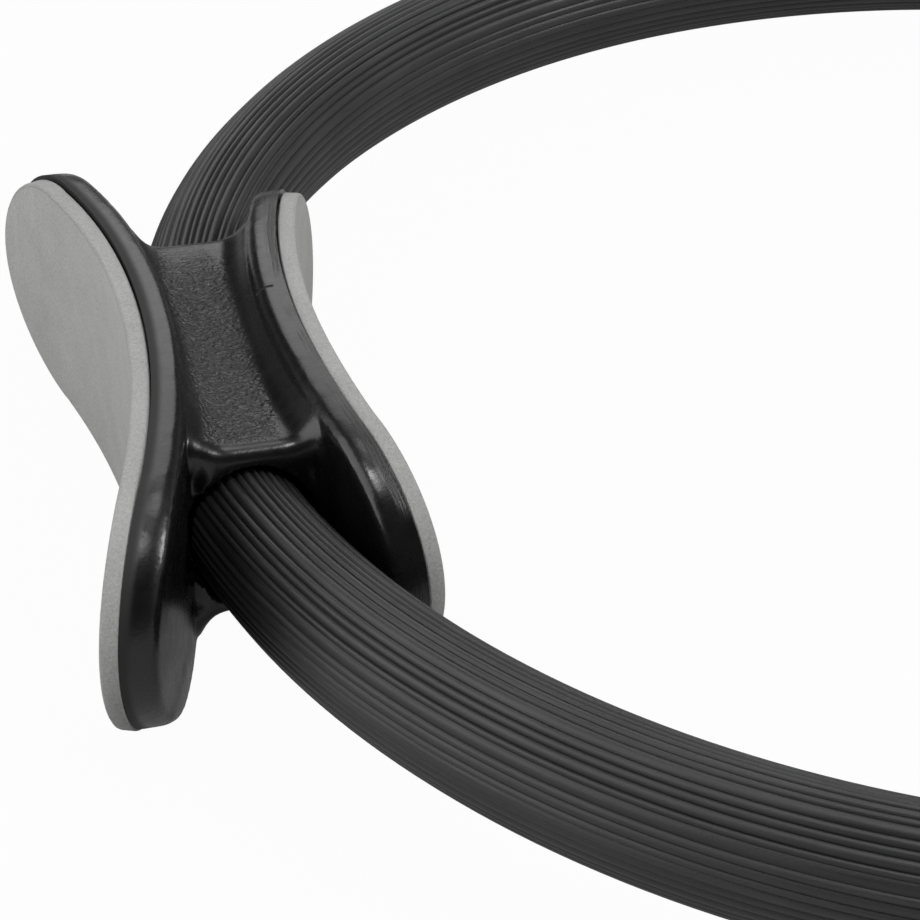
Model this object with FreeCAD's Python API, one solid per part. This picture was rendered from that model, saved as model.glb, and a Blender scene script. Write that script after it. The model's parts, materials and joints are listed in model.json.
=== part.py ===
import FreeCAD, Part
import math
import os

# Pilates ring: two half hoops of flat spring in a ribbed sleeve, held by two padded handles
# that face each other.
# Millimetres. The origin is the ring's centre, on its middle plane. The handles lie at +X (right) and
# -X (left), the bows between them at -Y (front) and +Y (back), and +Z is up when the ring lies flat.

# Spring strips
RING_RADIUS = 168.0
STRIP_HEIGHT = 20.0
STRIP_THICKNESS = 3.0
STRIP_END_GAP = 2.0
STRIP_CLEARANCE = 0.3

# Ribbed sleeve, its size measured over the ribs
SLEEVE_HALF_WIDTH = 10.2
SLEEVE_HALF_HEIGHT = 14.05
RIB_COUNT = 44
RIB_DEPTH = 0.5
SLEEVE_INSERTION = 2.3
BOW_GAP = 0.3
BOW_RELIEF_DEG = 2.2

# Handle body
BODY_LENGTH = 71.4
MOUTH_CLEARANCE = 1.2
MOUTH_DEPTH = 5.3
MOUTH_REACH = 16.0
MOUTH_ROOF = 3.75
SADDLE_FILLET = 4.1
LIP_RADIUS = 3.0

# Flanges: the skin is the face that carries the pad
FLANGE_THICKNESS = 5.5
FLANGE_RISE = 6.5
FLANGE_ROUND = 2.2
FLANGE_FLAT = 18.0
FLANGE_END_SHARE = 0.93
OUTER_LENGTH = 146.0
OUTER_BEND_RADIUS = 180.0
OUTER_NEST = 2.8
INNER_LENGTH = 121.0
INNER_BEND_RADIUS = 163.0
INNER_WALL = 6.6

# Foam pads and the adhesive film under them
PAD_THICKNESS = 3.0
PAD_INSET = 0.3
TAPE_THICKNESS = 0.3
TAPE_INSET = 2.0

# Clamp in each handle
SCREW_RADIUS = 2.0
SCREW_CLEARANCE = 0.2
THREAD_CLEARANCE = 0.05
SCREW_END_MARGIN = 7.5
SCREW_PITCH = 12.5
HEAD_RADIUS = 3.6
HEAD_HEIGHT = 1.6
HEAD_SINK = 0.9
PLATE_HEIGHT = 14.0
PLATE_MARGIN = 5.0
PLATE_CLEARANCE = 0.3
CLAMP_PLATE_THICKNESS = 2.0
NUT_PLATE_THICKNESS = 2.5
NUT_PLATE_SINK = 1.0

# How far cutting tools run past what they cut
OVERRUN = 1.0

# Sizes and places that follow from those above
STRIP_END_OFFSET = STRIP_END_GAP / 2
BODY_HALF = BODY_LENGTH / 2
SOCKET_HALF_WIDTH = SLEEVE_HALF_WIDTH + MOUTH_CLEARANCE
SOCKET_HALF_HEIGHT = SLEEVE_HALF_HEIGHT + MOUTH_CLEARANCE
SADDLE_Z = SOCKET_HALF_HEIGHT + MOUTH_ROOF
FLANGE_HALF_HEIGHT = SADDLE_Z + FLANGE_RISE
FLANGE_END_RADIUS = FLANGE_END_SHARE * FLANGE_HALF_HEIGHT
OUTER_SKIN = RING_RADIUS + SOCKET_HALF_WIDTH - OUTER_NEST
INNER_SKIN = RING_RADIUS - SOCKET_HALF_WIDTH - INNER_WALL
SCREW_PLACES = [
    sign * (STRIP_END_OFFSET + SCREW_END_MARGIN + step * SCREW_PITCH)
    for sign in (-1, 1)
    for step in (0, 1)
]
PLATE_HALF_LENGTH = max(SCREW_PLACES) + PLATE_MARGIN
CLAMP_PLATE_FACE = OUTER_SKIN - HEAD_SINK - HEAD_HEIGHT
CLAMP_PLATE_SEAT = CLAMP_PLATE_FACE - CLAMP_PLATE_THICKNESS
NUT_PLATE_FACE = INNER_SKIN + NUT_PLATE_SINK
NUT_PLATE_SEAT = NUT_PLATE_FACE + NUT_PLATE_THICKNESS
REACH = RING_RADIUS + OUTER_LENGTH

Vector = FreeCAD.Vector
CENTRE = Vector(0, 0, 0)
X_AXIS = Vector(1, 0, 0)
Y_AXIS = Vector(0, 1, 0)
Z_AXIS = Vector(0, 0, 1)
HALF_TURN = 180.0
QUARTER_TURN = 90.0


def same(length, other):
    """Whether two lengths are equal, but for rounding."""
    return abs(length - other) < Part.Precision.approximation()


def middle_of(edge):
    """The point halfway along an edge."""
    return edge.valueAt((edge.FirstParameter + edge.LastParameter) / 2)


def box(low, high):
    """A box from its low corner to its high corner."""
    size = high - low
    return Part.makeBox(size.x, size.y, size.z, low)


def turned(shape, axis):
    """A copy of a shape, half a turn about an axis through the ring's centre."""
    copy = shape.copy()
    copy.rotate(CENTRE, axis, HALF_TURN)
    return copy


def swept(section, start_deg, sweep_deg):
    """A section drawn in the XZ plane, swept round the ring's axis."""
    face = section.copy()
    face.rotate(CENTRE, Z_AXIS, start_deg)
    return face.revolve(CENTRE, Z_AXIS, sweep_deg)


def angle_at(radius, y):
    """The angle, in degrees from +X, at which a circle about the ring's axis reaches a given Y."""
    return math.degrees(math.asin(y / radius))


def strip_section(clearance):
    """The flat strip's section on the ring's centreline, with room around it."""
    half_width = STRIP_THICKNESS / 2 + clearance
    half_height = STRIP_HEIGHT / 2 + clearance
    corners = [(-1, -1), (1, -1), (1, 1), (-1, 1), (-1, -1)]
    points = [Vector(RING_RADIUS + i * half_width, 0, j * half_height) for i, j in corners]
    return Part.Face(Part.makePolygon(points))


def ellipse_point(half_width, half_height, turn_share):
    """A point of an ellipse about the ring's centreline, by its share of a full turn."""
    angle = 2 * math.pi * turn_share
    return Vector(RING_RADIUS + half_width * math.cos(angle), 0, half_height * math.sin(angle))


def sleeve_section():
    """The sleeve's oval section, a ring of round ribs with a slot for the strip."""
    ribs = []
    for rib in range(RIB_COUNT):
        shares = [(rib + side / 2) / RIB_COUNT for side in (-1, 0, 1)]
        start, crest, end = [
            ellipse_point(SLEEVE_HALF_WIDTH - sink, SLEEVE_HALF_HEIGHT - sink, share)
            for sink, share in zip((RIB_DEPTH, 0, RIB_DEPTH), shares)
        ]
        ribs.append(Part.Arc(start, crest, end).toShape())
    return Part.Face(Part.Wire(ribs)).cut(strip_section(STRIP_CLEARANCE)).Faces[0]


def socket_section():
    """The oval opening in which the sleeve ends."""
    ellipse = Part.Ellipse(CENTRE, SOCKET_HALF_HEIGHT, SOCKET_HALF_WIDTH).toShape()
    placement = FreeCAD.Placement(
        Vector(RING_RADIUS, 0, 0),
        FreeCAD.Rotation(Z_AXIS, X_AXIS, Y_AXIS, "XYZ"),
    )
    ellipse.Placement = placement
    return Part.Face(Part.Wire([ellipse]))


def quarter_sleeve():
    """The front right quarter of the sleeve, from the bow's middle into the handle's mouth."""
    mouth_y = BODY_HALF - SLEEVE_INSERTION
    quarter = swept(sleeve_section(), -QUARTER_TURN, QUARTER_TURN)
    handle_side = box(
        Vector(0, -mouth_y, -SADDLE_Z),
        Vector(REACH, mouth_y, SADDLE_Z),
    )
    hinge = Vector(0, -(RING_RADIUS - SLEEVE_HALF_WIDTH), 0)
    relief = box(
        Vector(-SLEEVE_HALF_WIDTH, hinge.y - REACH, -SADDLE_Z),
        Vector(0, hinge.y + OVERRUN, SADDLE_Z),
    )
    relief.rotate(hinge, Z_AXIS, BOW_RELIEF_DEG)
    relief.translate(X_AXIS * (BOW_GAP / 2))
    return quarter.cut([handle_side, relief])


def screw_axis_holes(radius, start_x, end_x):
    """Cylinders along X at each screw of the right handle."""
    return [
        Part.makeCylinder(radius, end_x - start_x, Vector(start_x, y, 0), X_AXIS)
        for y in SCREW_PLACES
    ]


def front_strip():
    """The front half hoop, with its screw holes in both handles."""
    end_deg = angle_at(RING_RADIUS, STRIP_END_OFFSET)
    strip = swept(strip_section(0), -HALF_TURN + end_deg, HALF_TURN - 2 * end_deg)
    right_holes = screw_axis_holes(SCREW_RADIUS + SCREW_CLEARANCE, INNER_SKIN, OUTER_SKIN)
    left_holes = [turned(hole, Z_AXIS) for hole in right_holes]
    return strip.cut(right_holes + left_holes)


def rounded_outline(length, inset):
    """The outline of a flange or pad in the YZ plane: flat top and foot, bowed shoulders and round ends."""
    half_length = length / 2 - inset
    half_height = FLANGE_HALF_HEIGHT - inset
    end_radius = FLANGE_END_RADIUS - inset
    flat = FLANGE_FLAT / 2
    run = half_length - end_radius - flat
    shoulder = (run ** 2 + half_height ** 2 - end_radius ** 2) / (2 * (half_height - end_radius))
    turn = math.atan2(shoulder - half_height, run)
    middle_turn = (turn + math.pi / 2) / 2

    def end_point(angle, sign_y, sign_z):
        y = half_length - end_radius + end_radius * math.cos(angle)
        return Vector(0, sign_y * y, sign_z * end_radius * math.sin(angle))

    def shoulder_point(angle, sign_y, sign_z):
        y = flat + shoulder * math.cos(angle)
        z = half_height - shoulder + shoulder * math.sin(angle)
        return Vector(0, sign_y * y, sign_z * z)

    edges = []
    for side in (-1, 1):
        start = Vector(0, -flat, side * half_height)
        end = Vector(0, flat, side * half_height)
        edges.append(Part.LineSegment(start, end))
        tip = Vector(0, side * half_length, 0)
        edges.append(Part.Arc(end_point(turn, side, 1), tip, end_point(turn, side, -1)))
        for level in (-1, 1):
            top = Vector(0, side * flat, level * half_height)
            middle = shoulder_point(middle_turn, side, level)
            edges.append(Part.Arc(top, middle, end_point(turn, side, level)))
    wire = Part.Wire(Part.__sortEdges__([edge.toShape() for edge in edges]))
    return Part.Face(wire)


class Side:
    """The outer or the inner side of the right handle, with its bent skin."""

    def __init__(self, skin, bend, length, outward):
        self.skin = skin
        self.bend = bend
        self.length = length
        self.axis_x = skin + outward * bend

    def cylinder(self, depth):
        """The cylinder whose wall lies at a depth under the skin, towards the hoop."""
        height = 2 * (FLANGE_HALF_HEIGHT + OVERRUN)
        foot = Vector(self.axis_x, 0, -height / 2)
        cylinder = Part.makeCylinder(self.bend + depth, height, foot, Z_AXIS)
        if self.skin > self.axis_x:
            cylinder.rotate(foot, Z_AXIS, HALF_TURN)
        return cylinder

    def sheet(self, top, bottom, inset):
        """A bent sheet between two depths, cut to the rounded outline."""
        sag = self.bend - math.sqrt(self.bend ** 2 - (self.length / 2) ** 2)
        room = sag + FLANGE_THICKNESS + PAD_THICKNESS + TAPE_THICKNESS + OVERRUN
        outline = rounded_outline(self.length, inset)
        outline.translate(Vector(self.skin - room, 0, 0))
        prism = outline.extrude(X_AXIS * (2 * room))
        return prism.common(self.cylinder(bottom)).cut(self.cylinder(top))

    def on_wall(self, point):
        """Whether a point lies on the flange's face towards the hoop."""
        distance = math.hypot(point.x - self.axis_x, point.y)
        return same(distance, self.bend + FLANGE_THICKNESS)

    def flange(self):
        """The flange, with the edge towards the hoop rounded."""
        plate = self.sheet(0, FLANGE_THICKNESS, 0)
        rim = [edge for edge in plate.Edges if self.on_wall(middle_of(edge))]
        return plate.makeFillet(FLANGE_ROUND, rim)

    def pad(self):
        """The foam pad, clear of the skin by the film's thickness."""
        return self.sheet(-TAPE_THICKNESS - PAD_THICKNESS, -TAPE_THICKNESS, PAD_INSET)

    def tape(self):
        """The adhesive film between the skin and the pad."""
        return self.sheet(-TAPE_THICKNESS, 0, TAPE_INSET)


OUTER = Side(OUTER_SKIN, OUTER_BEND_RADIUS, OUTER_LENGTH, 1)
INNER = Side(INNER_SKIN, INNER_BEND_RADIUS, INNER_LENGTH, -1)


def core():
    """The saddle block between the flanges, with rounded lips over and under its mouths."""
    block = box(
        Vector(INNER_SKIN - BODY_HALF, -BODY_HALF, -SADDLE_Z),
        Vector(OUTER_SKIN + BODY_HALF, BODY_HALF, SADDLE_Z),
    )
    lips = [
        edge
        for edge in block.Edges
        if same(abs(middle_of(edge).y), BODY_HALF) and same(abs(middle_of(edge).z), SADDLE_Z)
    ]
    block = block.makeFillet(LIP_RADIUS, lips)
    return block.cut([OUTER.cylinder(0), INNER.cylinder(0)])


def mouth_socket():
    """The space at the handle's back mouth in which the sleeve ends and turns."""
    floor_y = BODY_HALF - MOUTH_DEPTH
    start_deg = angle_at(RING_RADIUS + SOCKET_HALF_WIDTH, floor_y - SOCKET_HALF_WIDTH)
    end_deg = angle_at(RING_RADIUS, BODY_HALF + MOUTH_REACH)
    socket = swept(socket_section(), start_deg, end_deg - start_deg)
    inside = box(
        Vector(0, 0, -SADDLE_Z),
        Vector(REACH, floor_y, SADDLE_Z),
    )
    return socket.cut(inside)


def plate(seat, face, clearance):
    """A plate across the handle, or with clearance its pocket."""
    half_length = PLATE_HALF_LENGTH + clearance
    half_height = PLATE_HEIGHT / 2 + clearance
    return box(
        Vector(min(seat, face), -half_length, -half_height),
        Vector(max(seat, face), half_length, half_height),
    )


def handle_body():
    """The right handle's moulded body."""
    body = core().fuse([OUTER.flange(), INNER.flange()]).removeSplitter()
    corners = [
        edge
        for edge in body.Edges
        if abs(middle_of(edge).y) < BODY_HALF + OVERRUN
        and abs(middle_of(edge).z) < SADDLE_Z + OVERRUN
        and (OUTER.on_wall(middle_of(edge)) or INNER.on_wall(middle_of(edge)))
    ]
    body = body.makeFillet(SADDLE_FILLET, corners)
    slot_deg = angle_at(RING_RADIUS, BODY_HALF)
    slot = swept(strip_section(STRIP_CLEARANCE), -slot_deg, 2 * slot_deg)
    socket = mouth_socket()
    outer_pocket = plate(CLAMP_PLATE_SEAT, OUTER_SKIN + BODY_HALF, PLATE_CLEARANCE)
    inner_pocket = plate(NUT_PLATE_SEAT, INNER_SKIN - BODY_HALF, PLATE_CLEARANCE)
    holes = screw_axis_holes(SCREW_RADIUS + SCREW_CLEARANCE, INNER_SKIN, OUTER_SKIN)
    return body.cut([slot, socket, turned(socket, X_AXIS), outer_pocket, inner_pocket] + holes)


def clamp_plate():
    """The plate under the screw heads."""
    blank = plate(CLAMP_PLATE_SEAT, CLAMP_PLATE_FACE, 0)
    return blank.cut(screw_axis_holes(SCREW_RADIUS + SCREW_CLEARANCE, INNER_SKIN, OUTER_SKIN))


def nut_plate():
    """The plate into which the screws are driven."""
    blank = plate(NUT_PLATE_SEAT, NUT_PLATE_FACE, 0)
    return blank.cut(screw_axis_holes(SCREW_RADIUS + THREAD_CLEARANCE, INNER_SKIN, OUTER_SKIN))


def clamp_screws():
    """The four screws of one handle, each with a flat round head."""
    shanks = screw_axis_holes(SCREW_RADIUS, NUT_PLATE_FACE, CLAMP_PLATE_FACE + HEAD_HEIGHT / 2)
    heads = screw_axis_holes(HEAD_RADIUS, CLAMP_PLATE_FACE, CLAMP_PLATE_FACE + HEAD_HEIGHT)
    return Part.makeCompound([shank.fuse(head).removeSplitter() for shank, head in zip(shanks, heads)])


def save(name, shape):
    """Writes one piece, and says how many solids it holds and their volume."""
    shape.exportStep(os.path.join("parts", name + ".step"))
    print(name, "solids", len(shape.Solids), "volume", round(shape.Volume), "valid", shape.isValid())


def main():
    os.makedirs("parts", exist_ok=True)
    handle = {
        "handle_body": handle_body(),
        "outer_pad": OUTER.pad(),
        "inner_pad": INNER.pad(),
        "outer_pad_tape": OUTER.tape(),
        "inner_pad_tape": INNER.tape(),
        "clamp_plate": clamp_plate(),
        "nut_plate": nut_plate(),
        "clamp_screws": clamp_screws(),
    }
    for name, shape in handle.items():
        save("right_" + name, shape)
        save("left_" + name, turned(shape, Z_AXIS))

    sleeve = quarter_sleeve()
    save("front_right_sleeve", sleeve)
    save("front_left_sleeve", turned(sleeve, Y_AXIS))
    save("back_right_sleeve", turned(sleeve, X_AXIS))
    save("back_left_sleeve", turned(sleeve, Z_AXIS))

    strip = front_strip()
    save("front_spring_strip", strip)
    save("back_spring_strip", turned(strip, Z_AXIS))


main()
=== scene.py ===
import json
import math

import bpy
from mathutils import Matrix, Vector


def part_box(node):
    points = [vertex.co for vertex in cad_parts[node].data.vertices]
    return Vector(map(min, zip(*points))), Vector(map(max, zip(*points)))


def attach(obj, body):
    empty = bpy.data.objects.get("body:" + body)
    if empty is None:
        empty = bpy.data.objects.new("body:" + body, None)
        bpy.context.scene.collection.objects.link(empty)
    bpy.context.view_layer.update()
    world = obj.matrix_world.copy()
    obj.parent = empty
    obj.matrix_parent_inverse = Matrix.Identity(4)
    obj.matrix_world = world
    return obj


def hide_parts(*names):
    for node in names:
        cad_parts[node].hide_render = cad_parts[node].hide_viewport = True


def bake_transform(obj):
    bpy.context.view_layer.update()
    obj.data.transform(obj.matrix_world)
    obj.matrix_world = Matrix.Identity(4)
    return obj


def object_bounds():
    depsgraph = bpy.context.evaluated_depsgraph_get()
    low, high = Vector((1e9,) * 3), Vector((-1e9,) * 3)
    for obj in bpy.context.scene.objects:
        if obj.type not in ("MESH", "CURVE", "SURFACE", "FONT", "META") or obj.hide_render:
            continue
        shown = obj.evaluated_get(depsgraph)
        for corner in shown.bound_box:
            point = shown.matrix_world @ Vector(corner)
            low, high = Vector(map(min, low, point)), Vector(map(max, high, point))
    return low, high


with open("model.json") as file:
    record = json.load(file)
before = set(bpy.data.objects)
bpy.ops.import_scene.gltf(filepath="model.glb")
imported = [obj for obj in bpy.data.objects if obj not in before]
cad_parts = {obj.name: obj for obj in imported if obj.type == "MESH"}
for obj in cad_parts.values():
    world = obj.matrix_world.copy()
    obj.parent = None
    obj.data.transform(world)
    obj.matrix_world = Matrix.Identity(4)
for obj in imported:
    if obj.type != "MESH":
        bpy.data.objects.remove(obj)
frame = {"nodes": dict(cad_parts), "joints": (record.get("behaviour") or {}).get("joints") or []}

cad_low, cad_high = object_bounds()

# Sizes in metres, from the frame where it gives them
MM = 0.001
WELD = 0.001 * MM
joints = {joint["name"]: joint for joint in frame["joints"]}
mouth_pivot = Vector(joints["right_front_flex"]["pos_m"])
sleeve_low, sleeve_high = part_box("front_right_sleeve")
RING_RADIUS = mouth_pivot.xy.length
MOUTH_Y = abs(mouth_pivot.y)
SLEEVE_HALF_WIDTH = -sleeve_low.y - RING_RADIUS
SLEEVE_HALF_HEIGHT = sleeve_high.z
SLEEVE_END_Y = -sleeve_high.y

# Ribs round the sleeve: the width of each in points of the section, and its share of the full height
UNEVEN_RIBS = (6, 8, 7, 10, 6, 9, 7, 8, 11, 7, 9)
EVEN_RIBS = (8, 8, 9, 8, 8, 7, 8, 9, 8, 7, 8)
RIB_WIDTHS = UNEVEN_RIBS + EVEN_RIBS + EVEN_RIBS + UNEVEN_RIBS
RIB_HEIGHT_SHARES = (1, 0.85, 1, 0.7, 0.95, 1, 0.8, 1, 0.9, 0.75, 1) * 4
RIB_HEIGHT = 0.52 * MM
RIB_CREST_SHARE = 0.4
SLEEVE_STEPS = 120

# Foam pads: sheet with rounded edges, glued a little off its place
PAD_THICKNESS = 3 * MM
PAD_SWELL = 0.35 * MM
PAD_FLAT = 18 * MM
PAD_END_SHARE = 0.93
PAD_POINTS = 96
PAD_CUT_PITCH = 2.9 * MM
PAD_FACE_ROUND = 0.8 * MM
PAD_BACK_ROUND = 0.4 * MM
PAD_ROUND_STEPS = 3
PAD_GLUED_OFF = {"outer": (0, -0.6 * MM, -0.25 * MM), "inner": (0, -0.5 * MM, -0.2 * MM)}

# Handles: the moulding's even skin, and how it softens with the depth below the glued sides
SKIN_FINENESS = 8
SKIN_SCALE = 0.7
SOFTENING_PACE = 0.5
SOFTENING_STEPS = 13
SOFTENING_DEPTH = (1.1 * MM, 2.8 * MM)
EDGE_SOFTNESS = 0.02

# Flanges: how far each sits along the handle with its pad, and the depths between which that fades in
FLANGE_SHIFT = {"outer": 2.6 * MM, "inner": -0.9 * MM}
FLANGE_FOOT = (9 * MM, 5 * MM)
FLANGE_THICKNESS = 5.5 * MM

# Fuller fillets between the saddle and the flanges: outside at the mouths only, inside all along
SADDLE_FILLET = 4.1 * MM
MOUTH_FILLET = 6.5 * MM
MOUTH_FILLET_START = (0, 1.2 * MM)
MOUTH_FILLET_REACH = (12 * MM, 30 * MM)
MOUTH_FILLET_HEIGHT = (14.8 * MM, 17.8 * MM)

# Rounded corners of the mouth's lip against the flanges, and how much of them each flange has
LIP_CORNER_RADIUS = 5 * MM
LIP_CORNER_START = (0, 0.8 * MM)
LIP_CORNER_REACH = (31 * MM, 35.7 * MM)
LIP_CORNER_HEIGHT = (13 * MM, 16 * MM)
LIP_CORNER_SHARE = {"outer": 1, "inner": 0.3}

# The near mouth's lip reaches further along the ring, and is thinner below
NEAR_REACH = (15 * MM, 30 * MM)
NEAR_STRETCH = 2.5 * MM
NEAR_STRETCH_HEIGHT = (-12 * MM, -2 * MM)
LOWER_LIP_LIFT = 2 * MM
LOWER_LIP_HEIGHT = (15.5 * MM, 18.5 * MM)

# Edges sharper than these angles, in degrees, stay sharp in the shading
EDGE_ANGLE = 30
SLEEVE_EDGE_ANGLE = 50
HANDLE_EDGE_ANGLE = 60

# Studio: how white the floor and the room are to the camera and in gloss
FLOOR_SIZE = 8
FLOOR_SEEN_SHARE = 0.97
FLOOR_MIRRORED_SHARE = 0.2
ROOM_SEEN_SHARE = 0.98

# Lamps: the place, size and power of each, all pointed at the ring's centre
LAMPS = (
    ((0.75, -0.45, 0.8), 0.45, 8.2),
    ((-1.1, -0.1, 0.6), 1.3, 10.6),
    ((-0.2, -0.4, 1.1), 0.2, 3.2),
    ((0.15, 0.25, 1.2), 0.5, 2.5),
    ((0.1, 1.05, 0.78), 0.9, 4.6),
)

# Camera at the photograph's viewing angle, in degrees and millimetres of lens
CAMERA_PLACE = (-0.22624, -0.45028, 0.29934)
CAMERA_TURN = 13.4612
CAMERA_TILT = 34.1811
CAMERA_ROLL = 0.1922
CAMERA_LENS = 115.815
CAMERA_SENSOR = 36
CAMERA_NEAREST = 0.01

WHITE = (1, 1, 1, 1)


def linear(colour):
    """An sRGB hex value as a linear colour."""
    shares = [int(colour[i:i + 2], 16) / 255 for i in (1, 3, 5)]
    return [s / 12.92 if s <= 0.04045 else ((s + 0.055) / 1.055) ** 2.4 for s in shares] + [1]


def add(tree, kind, links=(), **settings):
    """Adds a node with its options, and gives its sockets a value, another node's socket or a node."""
    node = tree.nodes.new(kind)
    for option, value in settings.items():
        setattr(node, option, value)
    for key, value in dict(links).items():
        named = [socket for socket in node.inputs if socket.enabled and socket.name == key]
        socket = named[0] if named else node.inputs[key]
        if isinstance(value, bpy.types.Node):
            value = [output for output in value.outputs if output.enabled][0]
        if isinstance(value, bpy.types.NodeSocket):
            tree.links.new(value, socket)
        else:
            socket.default_value = value
    return node


def within(tree, fades, **settings):
    """How fully a place is past all the fades, each with a measure, its start and where it is full."""
    share = None
    for measure, start, full in fades:
        span = {"Value": measure, "From Min": start, "From Max": full}
        fade = add(tree, "ShaderNodeMapRange", span, **settings)
        if share is not None:
            fade = add(tree, "ShaderNodeMath", {0: share, 1: fade}, operation="MULTIPLY")
        share = fade
    return share


def new_material(name):
    """An empty material, its tree, and the place on the piece that its patterns follow."""
    finish = bpy.data.materials.new(name)
    finish.use_nodes = True
    tree = finish.node_tree
    tree.nodes.clear()
    return finish, tree, add(tree, "ShaderNodeTexCoord").outputs["Object"]


def surfaced(finish, sockets):
    """Ends a material with its shader, whose sockets take those values and patterns."""
    tree = finish.node_tree
    shader = add(tree, "ShaderNodeBsdfPrincipled", sockets)
    add(tree, "ShaderNodeOutputMaterial", {"Surface": shader})
    return finish


# Materials

def ribbed_rubber():
    """Extruded EPDM rubber: a dull charcoal skin with faint streaks along the tube, and painted shade down
    between the ribs.
    """
    finish, tree, place = new_material("extruded EPDM rubber")
    streak_length = 14 * MM
    streak_width = 0.5 * MM
    cloud_size = 18 * MM
    # the real grit is too fine to show, so it is drawn this coarse
    grit_size = 0.35 * MM

    # streaks that follow the tube: along the ring, out from its axis and up
    parts = add(tree, "ShaderNodeSeparateXYZ", {"Vector": place}).outputs
    turn = add(tree, "ShaderNodeMath", {0: parts["Y"], 1: parts["X"]}, operation="ARCTAN2")
    along = add(tree, "ShaderNodeMath", {0: turn, 1: RING_RADIUS / streak_length}, operation="MULTIPLY")
    flat = add(tree, "ShaderNodeVectorMath", {0: place, 1: (1, 1, 0)}, operation="MULTIPLY")
    out = add(tree, "ShaderNodeVectorMath", {0: flat}, operation="LENGTH")
    across = add(tree, "ShaderNodeMath", {0: out, 1: 1 / streak_width}, operation="MULTIPLY")
    up = add(tree, "ShaderNodeMath", {0: parts["Z"], 1: 1 / streak_width}, operation="MULTIPLY")
    tube = add(tree, "ShaderNodeCombineXYZ", {"X": along, "Y": across, "Z": up})
    streak = add(tree, "ShaderNodeTexNoise", {"Vector": tube, "Scale": 1, "Detail": 3})

    # colour: streaked and a little cloudy, with painted shade down between the ribs and on the crests of
    # the shallower ribs
    cloud = add(tree, "ShaderNodeTexNoise", {"Vector": place, "Scale": 1 / cloud_size, "Detail": 4})
    mixed = add(tree, "ShaderNodeMath", {0: streak, 1: 0.6, 2: cloud}, operation="MULTIPLY_ADD")
    shade = add(tree, "ShaderNodeMapRange", {"Value": mixed, "From Min": 0.5, "From Max": 1.1})
    tones = {"Factor": shade, "A": linear("#202021"), "B": linear("#343435")}
    skin = add(tree, "ShaderNodeMix", tones, data_type="RGBA")
    rib = add(tree, "ShaderNodeAttribute", attribute_name="rib_height").outputs["Fac"]
    painted_groove_shade = {"Factor": rib, "A": linear("#070707"), "B": skin}
    ribbed = add(tree, "ShaderNodeMix", painted_groove_shade, data_type="RGBA")

    # gloss and relief
    streaked = {"Value": streak, "From Min": 0.3, "From Max": 0.7, "To Min": 0.4, "To Max": 0.56}
    gloss = add(tree, "ShaderNodeMapRange", streaked)
    grit = add(tree, "ShaderNodeTexNoise", {"Vector": place, "Scale": 1 / grit_size, "Detail": 2})
    rough = add(tree, "ShaderNodeBump", {"Strength": 0.3, "Distance": 0.1 * MM, "Height": grit})
    return surfaced(finish, {"Base Color": ribbed, "Roughness": gloss, "Normal": rough, "IOR": 1.5})


def eva_foam():
    """Die-cut EVA foam: a soft even grey, a little cloudy, without shine, with painted shade on its cut
    edge.
    """
    finish, tree, place = new_material("die-cut EVA foam")
    cloud_size = 9 * MM
    # the real cells are too fine to show, so they and their grain are drawn this coarse
    cell_size = 0.5 * MM
    grain_size = 0.45 * MM

    # colour: cloudy and grained
    cloud = add(tree, "ShaderNodeTexNoise", {"Vector": place, "Scale": 1 / cloud_size, "Detail": 5})
    grain = add(tree, "ShaderNodeTexNoise", {"Vector": place, "Scale": 1 / grain_size, "Detail": 3})
    mixed = add(tree, "ShaderNodeMath", {0: cloud, 1: 0.4, 2: grain}, operation="MULTIPLY_ADD")
    shade = add(tree, "ShaderNodeMapRange", {"Value": mixed, "From Min": 0.45, "From Max": 0.95})
    tones = {"Factor": shade, "A": linear("#949493"), "B": linear("#adadac")}
    skin = add(tree, "ShaderNodeMix", tones, data_type="RGBA")

    # painted shade on the cut edge, and a faint line of painted shade where the sheet's face ends
    face = add(tree, "ShaderNodeAttribute", attribute_name="sheet_face").outputs["Fac"]
    painted_edge_shade = add(tree, "ShaderNodeMapRange", {"Value": face, "To Min": 0.86, "To Max": 1})
    # the faint line is painted shade along the round where the face ends
    aside = add(tree, "ShaderNodeMath", {0: face, 1: 0.5}, operation="SUBTRACT")
    beside = add(tree, "ShaderNodeMath", {0: aside}, operation="ABSOLUTE")
    line = {"Value": beside, "From Min": 0.1, "From Max": 0.45, "To Min": 0.8, "To Max": 1}
    painted_line_shade = add(tree, "ShaderNodeMapRange", line)
    tone = add(tree, "ShaderNodeMath", {0: painted_edge_shade, 1: painted_line_shade}, operation="MULTIPLY")
    cut = add(tree, "ShaderNodeVectorMath", {0: skin, "Scale": tone}, operation="SCALE")

    # relief
    cells = add(tree, "ShaderNodeTexVoronoi", {"Vector": place, "Scale": 1 / cell_size})
    lumps = add(tree, "ShaderNodeBump", {"Strength": 0.5, "Distance": 0.15 * MM, "Height": grain})
    pitted = {"Strength": 0.35, "Distance": 0.08 * MM, "Height": cells, "Normal": lumps}
    pores = add(tree, "ShaderNodeBump", pitted)
    return surfaced(finish, {"Base Color": cut, "Roughness": 0.9, "Normal": pores, "IOR": 1.45})


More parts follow.
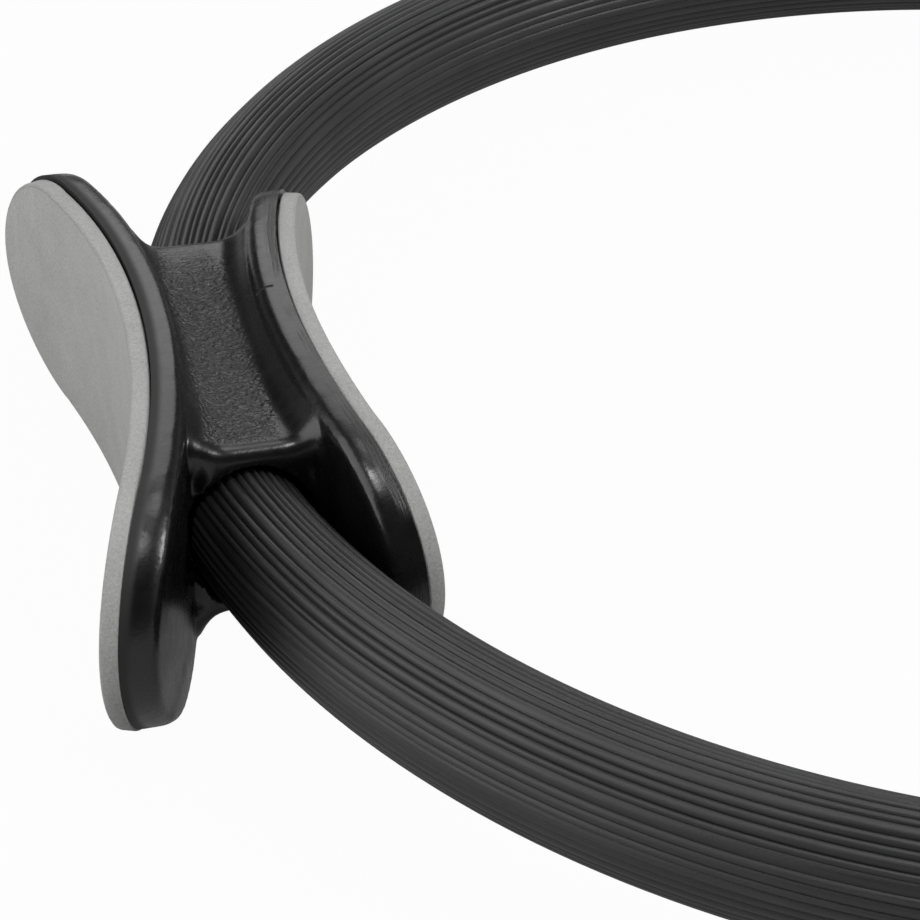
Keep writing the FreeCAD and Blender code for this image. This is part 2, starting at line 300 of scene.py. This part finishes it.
def moulded_vinyl():
    """Moulded soft PVC: near-black and satin, wrinkled in the grip, dull or scuffed beside the pads."""
    finish, tree, place = new_material("moulded soft PVC")
    wrinkle_sizes = (1.6 * MM, 0.7 * MM, 1.1 * MM)
    pebble_size = 0.8 * MM
    scratch_width = 0.45 * MM
    scratch_length = 9 * MM
    worn_patch = 16 * MM
    wave_size = 7 * MM
    smear_size = 2.5 * MM
    parting_place = 4 * MM

    # places that are the same on both handles: out from the ring's axis, along the handle and up or down
    parts = add(tree, "ShaderNodeSeparateXYZ", {"Vector": place}).outputs
    side = add(tree, "ShaderNodeMath", {0: parts["X"]}, operation="SIGN")
    reach = add(tree, "ShaderNodeMath", {0: parts["X"]}, operation="ABSOLUTE")
    along = add(tree, "ShaderNodeMath", {0: parts["Y"], 1: side}, operation="MULTIPLY")
    height = add(tree, "ShaderNodeMath", {0: parts["Z"]}, operation="ABSOLUTE")

    # the depth below each pad's glued side
    depths = {}
    for flange, shift in FLANGE_SHIFT.items():
        axis, radius = pad_bend(flange)
        across = add(tree, "ShaderNodeMath", {0: reach, 1: axis}, operation="SUBTRACT")
        unslid = add(tree, "ShaderNodeMath", {0: along, 1: shift}, operation="ADD")
        spoke = add(tree, "ShaderNodeCombineXYZ", {"X": across, "Y": unslid})
        length = add(tree, "ShaderNodeVectorMath", {0: spoke}, operation="LENGTH")
        below = add(tree, "ShaderNodeMath", {0: radius, 1: length}, operation="SUBTRACT")
        depths[flange] = add(tree, "ShaderNodeMath", {0: below}, operation="ABSOLUTE")

    # the grip's grain: on the saddle's floor, fading towards the inner flange and one end
    grip_edges = (
        (height, 17.6 * MM, 18.6 * MM),
        (height, 21.5 * MM, 19.8 * MM),
        (reach, 157 * MM, 161 * MM),
        (along, -38 * MM, -12 * MM),
        (along, 36 * MM, 34 * MM),
    )
    grip = within(tree, grip_edges, interpolation_type="SMOOTHSTEP")
    scales = [1 / size for size in wrinkle_sizes]
    crossed = add(tree, "ShaderNodeMapping", {"Vector": place, "Scale": scales})
    creased = {"Vector": crossed, "Scale": 1, "Detail": 1.5, "Distortion": 1.2}
    wrinkle = add(tree, "ShaderNodeTexNoise", creased)
    pebbled = {"Vector": place, "Scale": 1 / pebble_size}
    pebble = add(tree, "ShaderNodeTexVoronoi", pebbled, feature="SMOOTH_F1")
    grain = add(tree, "ShaderNodeMath", {0: pebble, 1: 0.5, 2: wrinkle}, operation="MULTIPLY_ADD")

    # the dull edge beside the outer pad
    dulled = {"Value": depths["outer"], "From Min": 2.6 * MM, "From Max": 0.9 * MM}
    edge = add(tree, "ShaderNodeMapRange", dulled, interpolation_type="SMOOTHSTEP")

    # the scuffed band beside the inner pad: fine lines that run along the pad's edge, in patches
    rubbed = {"Value": depths["inner"], "From Min": 2.8 * MM, "From Max": 1.4 * MM}
    band = add(tree, "ShaderNodeMapRange", rubbed, interpolation_type="SMOOTHSTEP")
    layer = add(tree, "ShaderNodeMath", {0: depths["inner"], 1: 1 / scratch_width}, operation="MULTIPLY")
    run = add(tree, "ShaderNodeMath", {0: along, 1: 1 / scratch_length}, operation="MULTIPLY")
    rise = add(tree, "ShaderNodeMath", {0: height, 1: 1 / scratch_length}, operation="MULTIPLY")
    lines = add(tree, "ShaderNodeCombineXYZ", {"X": layer, "Y": run, "Z": rise})
    scratch = add(tree, "ShaderNodeTexNoise", {"Vector": lines, "Scale": 1, "Detail": 5})
    patch = add(tree, "ShaderNodeTexNoise", {"Vector": place, "Scale": 1 / worn_patch, "Detail": 2})
    worn = within(tree, [(scratch, 0.4, 0.6), (patch, 0.38, 0.55)])
    scuff = add(tree, "ShaderNodeMath", {0: worn, 1: band}, operation="MULTIPLY")

    # the mould's parting line across the inner flange's round: a notch, with painted shade in it as its
    # darker colour
    beside = add(tree, "ShaderNodeMath", {0: along, 1: parting_place}, operation="ADD")
    offset = add(tree, "ShaderNodeMath", {0: beside}, operation="ABSOLUTE")
    parting_edges = (
        (depths["inner"], 2.6 * MM, 2.9 * MM),
        (depths["inner"], 5.8 * MM, 5.4 * MM),
        (height, 22 * MM, 22.4 * MM),
        (offset, 0.4 * MM, 0.15 * MM),
    )
    parting = within(tree, parting_edges)

    # colour: a random tone, the grip, the scuffs, and painted shade in the parting notch
    wave = add(tree, "ShaderNodeTexNoise", {"Vector": place, "Scale": 1 / wave_size, "Detail": 3})
    colour = add(tree, "ShaderNodeMapRange", {"Value": wave, "From Min": 0.35, "From Max": 0.65})
    under = linear("#09090a")
    for share, tone in ((colour, "#101011"), (grip, "#232324"), (scuff, "#2a2a2b"), (parting, "#050505")):
        tones = {"Factor": share, "A": under, "B": linear(tone)}
        under = add(tree, "ShaderNodeMix", tones, data_type="RGBA")

    # gloss
    smear = add(tree, "ShaderNodeTexNoise", {"Vector": place, "Scale": 1 / smear_size, "Detail": 5})
    satin = {"Value": smear, "From Min": 0.35, "From Max": 0.7, "To Min": 0.25, "To Max": 0.31}
    gloss = add(tree, "ShaderNodeMapRange", satin)
    for share, roughness in ((grip, 0.31), (scuff, 0.52), (edge, 0.7), (parting, 1)):
        gloss = add(tree, "ShaderNodeMix", {"Factor": share, "A": gloss, "B": roughness})

    # relief
    felt = add(tree, "ShaderNodeMath", {0: grip, 1: 0.03}, operation="MAXIMUM")
    swell = add(tree, "ShaderNodeBump", {"Strength": 0.12, "Distance": 0.3 * MM, "Height": wave})
    wrinkled = {"Strength": felt, "Distance": 0.9 * MM, "Height": grain, "Normal": swell}
    leather = add(tree, "ShaderNodeBump", wrinkled)
    scratched = {"Strength": 0.5, "Distance": 0.15 * MM, "Height": scuff, "Normal": leather}
    groove = add(tree, "ShaderNodeBump", scratched)
    parted = {"Strength": 1, "Distance": 0.5 * MM, "Height": parting, "Normal": groove}
    seam = add(tree, "ShaderNodeBump", parted, invert=True)
    return surfaced(finish, {"Base Color": under, "Roughness": gloss, "Normal": seam, "IOR": 1.53})


def glass_fibre():
    """Pultruded glass fibre: straw-coloured resin with fine fibres along the strip."""
    finish, tree, place = new_material("pultruded glass fibre")
    # the real fibres are too fine to show, so they are drawn this wide
    fibre_sizes = (9 * MM, 9 * MM, 0.4 * MM)
    scales = [1 / size for size in fibre_sizes]
    lengthways = add(tree, "ShaderNodeMapping", {"Vector": place, "Scale": scales})
    thread = add(tree, "ShaderNodeTexNoise", {"Vector": lengthways, "Scale": 1, "Detail": 4})
    tones = {"Factor": thread, "A": linear("#b9b18f"), "B": linear("#d2cba8")}
    resin = add(tree, "ShaderNodeMix", tones, data_type="RGBA")
    rough = add(tree, "ShaderNodeBump", {"Strength": 0.2, "Distance": 0.05 * MM, "Height": thread})
    return surfaced(finish, {"Base Color": resin, "Roughness": 0.4, "Normal": rough, "IOR": 1.55})


def zinc_plate():
    """Zinc-plated steel: a pale grey metal with a cloudy plating."""
    finish, tree, place = new_material("zinc-plated steel")
    cloud_size = 3 * MM
    cloud = add(tree, "ShaderNodeTexNoise", {"Vector": place, "Scale": 1 / cloud_size, "Detail": 5})
    tones = {"Factor": cloud, "A": linear("#b2b4b6"), "B": linear("#d0d1d2")}
    metal = add(tree, "ShaderNodeMix", tones, data_type="RGBA")
    clouded = {"Value": cloud, "From Min": 0.3, "From Max": 0.7, "To Min": 0.28, "To Max": 0.45}
    gloss = add(tree, "ShaderNodeMapRange", clouded)
    return surfaced(finish, {"Base Color": metal, "Roughness": gloss, "Metallic": 1})


def adhesive_film():
    """Acrylic adhesive film: a dull dark film, seen only as a thin line under each pad."""
    finish, tree, place = new_material("acrylic adhesive film")
    smear_size = 2 * MM
    smear = add(tree, "ShaderNodeTexNoise", {"Vector": place, "Scale": 1 / smear_size, "Detail": 3})
    tones = {"Factor": smear, "A": linear("#2a2a29"), "B": linear("#3c3c3a")}
    film = add(tree, "ShaderNodeMix", tones, data_type="RGBA")
    return surfaced(finish, {"Base Color": film, "Roughness": 0.55, "IOR": 1.47})


# Modelling helpers

def deselect():
    """Leaves object mode with nothing selected."""
    if bpy.context.mode != "OBJECT":
        bpy.ops.object.mode_set(mode="OBJECT")
    bpy.ops.object.select_all(action="DESELECT")


def pick(piece, test):
    """Selects the piece's points that pass the test, and goes to edit mode."""
    bpy.ops.object.mode_set(mode="EDIT")
    bpy.ops.mesh.select_mode(type="VERT")
    bpy.ops.mesh.select_all(action="DESELECT")
    bpy.ops.object.mode_set(mode="OBJECT")
    for point in piece.data.vertices:
        point.select = test(point)
    bpy.ops.object.mode_set(mode="EDIT")


def pick_all():
    """Selects the whole of the active piece in edit mode."""
    bpy.ops.object.mode_set(mode="EDIT")
    bpy.ops.mesh.select_mode(type="VERT")
    bpy.ops.mesh.select_all(action="SELECT")


def placed(piece, name):
    """Names a new primitive and puts its place into its mesh."""
    bpy.ops.object.transform_apply(location=True, rotation=True, scale=True)
    piece.name = name
    piece.data.name = name
    return piece


def finished(piece, finish, angle=EDGE_ANGLE):
    """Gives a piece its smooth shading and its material."""
    deselect()
    piece.select_set(True)
    bpy.context.view_layer.objects.active = piece
    bpy.ops.object.shade_smooth_by_angle(angle=math.radians(angle))
    piece.data.materials.clear()
    piece.data.materials.append(finish)
    return piece


def opposite(piece, name):
    """A copy of the piece, turned half a turn about the ring's axis."""
    copy = piece.copy()
    copy.data = piece.data.copy()
    copy.name = name
    copy.data.name = name
    bpy.context.collection.objects.link(copy)
    copy.data.transform(Matrix.Rotation(math.pi, 4, "Z"))
    return copy


def welded_copy(node, name):
    """A copy of a CAD node's mesh as a new piece, with its loose triangles merged."""
    deselect()
    piece = bpy.data.objects.new(name, frame["nodes"][node].data.copy())
    piece.data.name = name
    bpy.context.collection.objects.link(piece)
    piece.select_set(True)
    bpy.context.view_layer.objects.active = piece
    pick_all()
    bpy.ops.mesh.remove_doubles(threshold=WELD)
    bpy.ops.object.mode_set(mode="OBJECT")
    return piece


# Ribbed sleeves

def front_sleeve():
    """The front bow's sleeve: one ribbed section swept from mouth to mouth, with closed ends."""
    deselect()
    mouth_turn = math.asin(SLEEVE_END_Y / RING_RADIUS)
    start = math.pi + mouth_turn
    sweep = math.pi - 2 * mouth_turn
    middle = RING_RADIUS * Vector((math.cos(start), math.sin(start), 0))
    bpy.ops.mesh.primitive_circle_add(
        vertices=sum(RIB_WIDTHS), radius=SLEEVE_HALF_HEIGHT,
        location=middle, rotation=(math.pi / 2, 0, start),
    )
    sleeve = bpy.context.object
    sleeve.scale.x = SLEEVE_HALF_WIDTH / SLEEVE_HALF_HEIGHT
    placed(sleeve, "front_sleeve")
    heights = sleeve.data.attributes.new("rib_height", "FLOAT", "POINT")
    first = 0
    for width, share in zip(RIB_WIDTHS, RIB_HEIGHT_SHARES):
        for step in range(width):
            point = sleeve.data.vertices[first + step]
            height = share * (0.5 - 0.5 * math.cos(2 * math.pi * step / width)) ** RIB_CREST_SHARE
            heights.data[first + step].value = height
            depth = RIB_HEIGHT * (1 - height)
            point.co = middle + (point.co - middle) * (1 - depth / SLEEVE_HALF_HEIGHT)
        first += width
    pick_all()
    bpy.ops.mesh.spin(steps=SLEEVE_STEPS, angle=-sweep, center=(0, 0, 0), axis=(0, 0, 1))
    pick_all()
    bpy.ops.mesh.remove_doubles(threshold=WELD)
    bpy.ops.mesh.fill_holes(sides=0)
    bpy.ops.mesh.select_all(action="SELECT")
    bpy.ops.mesh.normals_make_consistent(inside=False)
    deselect()
    return sleeve


# Foam pads

def crown(reach, half_height, run):
    """The outline's half height at that distance from the pad's middle: flat, then slowly rounded."""
    rise = half_height * (1 - PAD_END_SHARE)
    slope = run - PAD_FLAT / 2
    radius = (slope ** 2 + rise ** 2) / (2 * rise)
    past = max(0, reach - PAD_FLAT / 2)
    return half_height - radius + math.sqrt(radius ** 2 - past ** 2)


def pad_bend(flange):
    """The bend of the left pad's glued side: its axis's distance from the ring's centre, and its radius."""
    low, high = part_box(f"left_{flange}_pad")
    near = -high.x
    far = -low.x
    drop = far - near - PAD_THICKNESS
    radius = (high.y ** 2 + drop ** 2) / (2 * drop) + PAD_THICKNESS
    axis = near + radius if flange == "outer" else far - radius
    return axis, radius


def foam_pad(flange):
    """A pad cut from foam sheet: the outline, its thickness with rounded edges, then the bend."""
    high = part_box(f"left_{flange}_pad")[1]
    half_length = high.y
    half_height = high.z
    end_radius = half_height * PAD_END_SHARE
    run = half_length - end_radius
    deselect()
    bpy.ops.mesh.primitive_circle_add(
        vertices=PAD_POINTS, radius=end_radius, fill_type="NGON", rotation=(math.pi / 2, 0, math.pi / 2)
    )
    pad = placed(bpy.context.object, f"left_{flange}_foam")
    for way in (1, -1):
        pick(pad, lambda point: point.co.y * way > WELD)
        bpy.ops.transform.translate(value=(0, way * run, 0))
    cuts = int(half_length / PAD_CUT_PITCH)
    for i in range(-cuts, cuts + 1):
        pick_all()
        bpy.ops.mesh.bisect(plane_co=(0, i * PAD_CUT_PITCH, 0), plane_no=(0, 1, 0))
    bpy.ops.object.mode_set(mode="OBJECT")
    for point in pad.data.vertices:
        if abs(point.co.y) < run and abs(point.co.z) > end_radius / 2:
            point.co.z = math.copysign(crown(abs(point.co.y), half_height, run), point.co.z)
    pick_all()
    thickness = PAD_THICKNESS + PAD_SWELL
    bpy.ops.mesh.extrude_region_move(TRANSFORM_OT_translate={"value": (thickness, 0, 0)})
    for side, round_off in ((thickness, PAD_FACE_ROUND), (0, PAD_BACK_ROUND)):
        pick(pad, lambda point: abs(point.co.x - side) < WELD)
        bpy.ops.mesh.region_to_loop()
        bpy.ops.mesh.bevel(offset=round_off, segments=PAD_ROUND_STEPS)
    pick_all()
    bpy.ops.mesh.normals_make_consistent(inside=False)
    bpy.ops.object.mode_set(mode="OBJECT")
    sheet_face = pad.data.attributes.new("sheet_face", "FLOAT", "POINT")
    axis, back_radius = pad_bend(flange)
    inward = -1 if flange == "outer" else 1
    for point in pad.data.vertices:
        sheet_face.data[point.index].value = 1 if point.co.x > thickness - WELD else 0
        radius = back_radius - point.co.x
        turn = math.asin(point.co.y / back_radius)
        point.co.x = -(axis + inward * radius * math.cos(turn))
        point.co.y = radius * math.sin(turn)
    if flange == "outer":
        pad.data.flip_normals()
    deselect()
    return pad


# Handles

def eased(measure, span):
    """How far the measure is along the span, from 0 to 1, with a slow start and end."""
    share = min(1, max(0, (measure - span[0]) / (span[1] - span[0])))
    return share * share * (3 - 2 * share)


def fillet_rise(run, radius):
    """How far a fillet of that radius rises above the saddle's floor, at that distance from the flange."""
    return radius - math.sqrt(radius ** 2 - max(0, radius - run) ** 2)


def flange_move(place, flange, depth):
    """How a point of the handle moves with one flange, and out into its lip corners and fillets."""
    run = max(0, depth - FLANGE_THICKNESS)
    shift = FLANGE_SHIFT[flange] * eased(depth, FLANGE_FOOT)
    lip = eased(abs(place.y), LIP_CORNER_REACH) * eased(abs(place.z), LIP_CORNER_HEIGHT)
    corner = fillet_rise(run, LIP_CORNER_RADIUS) * eased(run, LIP_CORNER_START)
    outward = lip * corner * LIP_CORNER_SHARE[flange]
    fuller = fillet_rise(run, MOUTH_FILLET) - fillet_rise(run, SADDLE_FILLET)
    fullness = eased(abs(place.y), MOUTH_FILLET_REACH) if flange == "outer" else 1
    rise = fuller * fullness * eased(run, MOUTH_FILLET_START) * eased(abs(place.z), MOUTH_FILLET_HEIGHT)
    return Vector((0, shift + math.copysign(outward, place.y), math.copysign(rise, place.z)))


def ring_depth(along):
    """How far the hoop lies to the side of the ring's centre, at that distance along the handle."""
    return math.sqrt(RING_RADIUS ** 2 - along ** 2)


def near_lip_move(place, depths):
    """How a point of the handle moves for the near lip: out along the hoop, and up on its underside."""
    share = eased(-place.y, NEAR_REACH)
    for depth in depths.values():
        share *= 1 - eased(depth, FLANGE_FOOT)
    stretch = share * NEAR_STRETCH * eased(place.z, NEAR_STRETCH_HEIGHT)
    lift = share * LOWER_LIP_LIFT * eased(-place.z, LOWER_LIP_HEIGHT)
    return Vector((ring_depth(place.y) - ring_depth(place.y - stretch), -stretch, lift))


def moulded_handle(name):
    """The left handle: the frame's body with fuller fillets and softened rounds, flat where it is glued."""
    handle = welded_copy("left_handle_body", name)
    skin = handle.modifiers.new("even skin", "REMESH")
    skin.mode = "SHARP"
    skin.octree_depth = SKIN_FINENESS
    skin.scale = SKIN_SCALE
    skin.sharpness = 1
    skin.use_remove_disconnected = False
    bpy.ops.object.modifier_apply(modifier=skin.name)
    bends = {flange: pad_bend(flange) for flange in FLANGE_SHIFT}
    soft = handle.vertex_groups.new(name="soft")
    edge_depth, soft_depth = SOFTENING_DEPTH
    for point in handle.data.vertices:
        place = point.co.copy()
        depths = {}
        for flange, (axis, radius) in bends.items():
            depths[flange] = abs(math.hypot(-place.x - axis, place.y) - radius)
        softness = (min(depths.values()) - edge_depth) / (soft_depth - edge_depth)
        soft.add([point.index], min(1, max(EDGE_SOFTNESS, softness)), "REPLACE")
        point.co += near_lip_move(place, depths)
        for flange, depth in depths.items():
            point.co += flange_move(place, flange, depth)
    smooth = handle.modifiers.new("soft rounds", "SMOOTH")
    smooth.factor = SOFTENING_PACE
    smooth.iterations = SOFTENING_STEPS
    smooth.vertex_group = soft.name
    bpy.ops.object.modifier_apply(modifier=smooth.name)
    handle.vertex_groups.clear()
    deselect()
    return handle


# Spring strips

def strip_run(node, name, cut_y, keep_middle):
    """The frame's strip, cut to its bow between the mouths or to its two tabs inside the handles."""
    strip = welded_copy(node, name)
    toward_ends = -1 if cut_y > 0 else 1
    pick_all()
    bpy.ops.mesh.bisect(
        plane_co=(0, cut_y, 0), plane_no=(0, toward_ends, 0), use_fill=True,
        clear_outer=keep_middle, clear_inner=not keep_middle,
    )
    deselect()
    return strip


def strip_tab(node, name, cut_y, way):
    """The tab of the strip inside the handle on that side."""
    tab = strip_run(node, name, cut_y, False)
    bpy.context.view_layer.objects.active = tab
    tab.select_set(True)
    pick(tab, lambda point: point.co.x * way < 0)
    bpy.ops.mesh.delete(type="VERT")
    deselect()
    return tab


# Stage

def paper_floor():
    """A pale paper floor, almost white to the camera and a little lighter in gloss than it is."""
    deselect()
    bpy.ops.mesh.primitive_plane_add(size=FLOOR_SIZE, location=(0, 0, cad_low.z))
    floor = placed(bpy.context.object, "floor")
    paper = bpy.data.materials.new("white paper sweep")
    paper.use_nodes = True
    tree = paper.node_tree
    tree.nodes.clear()
    sheet = add(tree, "ShaderNodeBsdfDiffuse", {"Color": linear("#a4a4a4")})
    white = add(tree, "ShaderNodeEmission", {"Color": WHITE, "Strength": 1})
    rays = add(tree, "ShaderNodeLightPath").outputs
    bounced = {0: rays["Is Glossy Ray"], 1: rays["Is Transmission Ray"]}
    mirrored = add(tree, "ShaderNodeMath", bounced, operation="MAXIMUM")
    dimmed = {0: mirrored, 1: FLOOR_MIRRORED_SHARE}
    mirrored_share = add(tree, "ShaderNodeMath", dimmed, operation="MULTIPLY")
    seen = {0: rays["Is Camera Ray"], 1: FLOOR_SEEN_SHARE}
    seen_share = add(tree, "ShaderNodeMath", seen, operation="MULTIPLY")
    share = add(tree, "ShaderNodeMath", {0: mirrored_share, 1: seen_share}, operation="MAXIMUM")
    mixed = add(tree, "ShaderNodeMixShader", {0: share, 1: sheet, 2: white})
    add(tree, "ShaderNodeOutputMaterial", {"Surface": mixed})
    floor.data.materials.append(paper)


def soft_lamps():
    """The studio's lamps."""
    for place, size, power in LAMPS:
        turn = (-Vector(place)).to_track_quat("-Z", "Y").to_euler()
        bpy.ops.object.light_add(type="AREA", location=place, rotation=turn)
        lamp = bpy.context.object.data
        lamp.size = size
        lamp.energy = power


def studio_room():
    """A dim room, lighter low down and to the left and right, and almost white to the camera."""
    world = bpy.data.worlds.new("studio room")
    bpy.context.scene.world = world
    world.use_nodes = True
    tree = world.node_tree
    tree.nodes.clear()
    direction = add(tree, "ShaderNodeTexCoord").outputs["Generated"]
    parts = add(tree, "ShaderNodeSeparateXYZ", {"Vector": direction}).outputs
    low = {"Value": parts["Z"], "From Min": 0.05, "From Max": 0.4, "To Min": 0.43, "To Max": 0.13}
    level = add(tree, "ShaderNodeMapRange", low)
    lengthways = add(tree, "ShaderNodeMath", {0: parts["Y"]}, operation="ABSOLUTE")
    ends = {"Value": lengthways, "From Min": 0.2, "From Max": 0.7, "To Min": 1, "To Max": 0.25}
    rear = add(tree, "ShaderNodeMapRange", ends)
    sideways = add(tree, "ShaderNodeMath", {0: parts["X"]}, operation="ABSOLUTE")
    sides = {"Value": sideways, "From Min": 0.4, "From Max": 0.9, "To Min": 1, "To Max": 2.2}
    flank = add(tree, "ShaderNodeMapRange", sides)
    walls = add(tree, "ShaderNodeMath", {0: rear, 1: flank}, operation="MULTIPLY")
    dim = add(tree, "ShaderNodeMath", {0: level, 1: walls}, operation="MULTIPLY")
    camera_ray = add(tree, "ShaderNodeLightPath").outputs["Is Camera Ray"]
    seen = add(tree, "ShaderNodeMath", {0: camera_ray, 1: ROOM_SEEN_SHARE}, operation="MULTIPLY")
    glow = add(tree, "ShaderNodeMath", {0: dim, 1: seen}, operation="MAXIMUM")
    room = add(tree, "ShaderNodeBackground", {"Color": WHITE, "Strength": glow})
    add(tree, "ShaderNodeOutputWorld", {"Surface": room})


def photograph_camera():
    """The camera of the photograph."""
    turn = (
        Matrix.Rotation(math.radians(-CAMERA_TURN), 3, "Z")
        @ Matrix.Rotation(math.radians(90 - CAMERA_TILT), 3, "X")
        @ Matrix.Rotation(math.radians(CAMERA_ROLL), 3, "Z")
    )
    bpy.ops.object.camera_add(location=CAMERA_PLACE, rotation=turn.to_euler())
    camera = bpy.context.object
    camera.data.lens = CAMERA_LENS
    camera.data.sensor_width = CAMERA_SENSOR
    camera.data.clip_start = CAMERA_NEAREST
    bpy.context.scene.camera = camera


# Build
bpy.context.scene.view_settings.view_transform = "Standard"

rubber = ribbed_rubber()
foam = eva_foam()
vinyl = moulded_vinyl()
fibre = glass_fibre()
zinc = zinc_plate()
film = adhesive_film()

front = finished(front_sleeve(), rubber, SLEEVE_EDGE_ANGLE)
back = opposite(front, "back_sleeve")
for sleeve, bow in ((front, "front"), (back, "back")):
    left, right = bow + "_left", bow + "_right"
    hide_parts(left + "_sleeve", right + "_sleeve")
    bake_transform(sleeve)

for flange, shift in FLANGE_SHIFT.items():
    slide = Vector((0, shift, 0))
    left_pad = finished(foam_pad(flange), foam)
    left_pad.data.transform(Matrix.Translation(Vector(PAD_GLUED_OFF[flange]) + slide))
    left_film = finished(welded_copy(f"left_{flange}_pad_tape", f"left_{flange}_film"), film)
    left_film.data.transform(Matrix.Translation(slide))
    right_film = opposite(left_film, f"right_{flange}_film")
    for layer, side in ((left_film, "left"), (right_film, "right")):
        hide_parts(f"{side}_{flange}_pad_tape")
        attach(layer, side + "_handle")
    right_pad = opposite(left_pad, f"right_{flange}_foam")
    for pad, side in ((left_pad, "left"), (right_pad, "right")):
        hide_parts(f"{side}_{flange}_pad")
        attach(pad, side + "_handle")

for bow, cut_y in (("front", -MOUTH_Y), ("back", MOUTH_Y)):
    node = bow + "_spring_strip"
    strip = finished(strip_run(node, bow + "_strip_bow", cut_y, True), fibre)
    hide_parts(node)
    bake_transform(strip)
    for side, way in (("left", -1), ("right", 1)):
        tab = finished(strip_tab(node, f"{bow}_strip_{side}_tab", cut_y, way), fibre)
        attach(tab, side + "_handle")

left_handle = finished(moulded_handle("left_handle_moulding"), vinyl, HANDLE_EDGE_ANGLE)
right_handle = opposite(left_handle, "right_handle_moulding")
for handle, side in ((left_handle, "left"), (right_handle, "right")):
    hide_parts(side + "_handle_body")
    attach(handle, side + "_handle")

for name, node in frame["nodes"].items():
    if name.endswith(("plate", "screws")):
        node.data.materials.clear()
        node.data.materials.append(zinc)

paper_floor()
soft_lamps()
studio_room()
photograph_camera()
